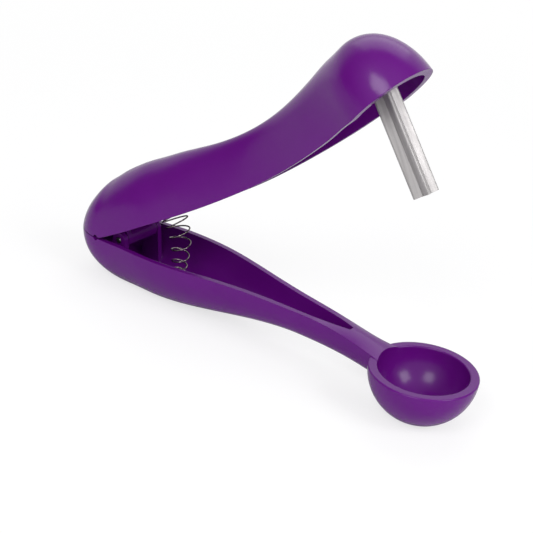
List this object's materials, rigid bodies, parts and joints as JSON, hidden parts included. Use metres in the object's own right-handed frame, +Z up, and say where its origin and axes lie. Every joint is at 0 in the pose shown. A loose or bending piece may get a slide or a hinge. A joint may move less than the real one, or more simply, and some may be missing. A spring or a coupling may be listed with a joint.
{
  "type": "cherry pitter",
  "caption": "Hand-held lever pitter: two hollow moulded levers hinged at the heel and sprung open, a star rod under a domed head above a holed cup.",
  "frame": {"origin": "bottom centre of the bounding box, on the plane that the cup's foot and the lower lever's belly stand on", "axes": "+X from the heel to the cup, along the levers; +Y across the levers; +Z up"},
  "size_m": [0.1822, 0.04, 0.1298],
  "materials": {
    "lever_plastic": "glossy moulded",
    "rod_aluminium": "satin extruded",
    "spring_steel": "bright drawn wire",
    "pin_steel": "ground"
  },
  "bodies": {
    "base": {"lower_lever": "lever_plastic", "hinge_pin": "pin_steel", "return_spring": "spring_steel"},
    "press": {"upper_lever": "lever_plastic", "plunger": "rod_aluminium"}
  },
  "joints": [
    {"name": "heel_hinge", "type": "hinge", "parent": "base", "child": "press", "pos_m": [-0.0668, 0, 0.02002], "axis": [0, 1, 0], "range_deg": [0, 34.5], "stiffness_Nm_per_rad": 0.12, "springref_deg": -40.11, "deforming": ["return_spring"]}
  ]
}
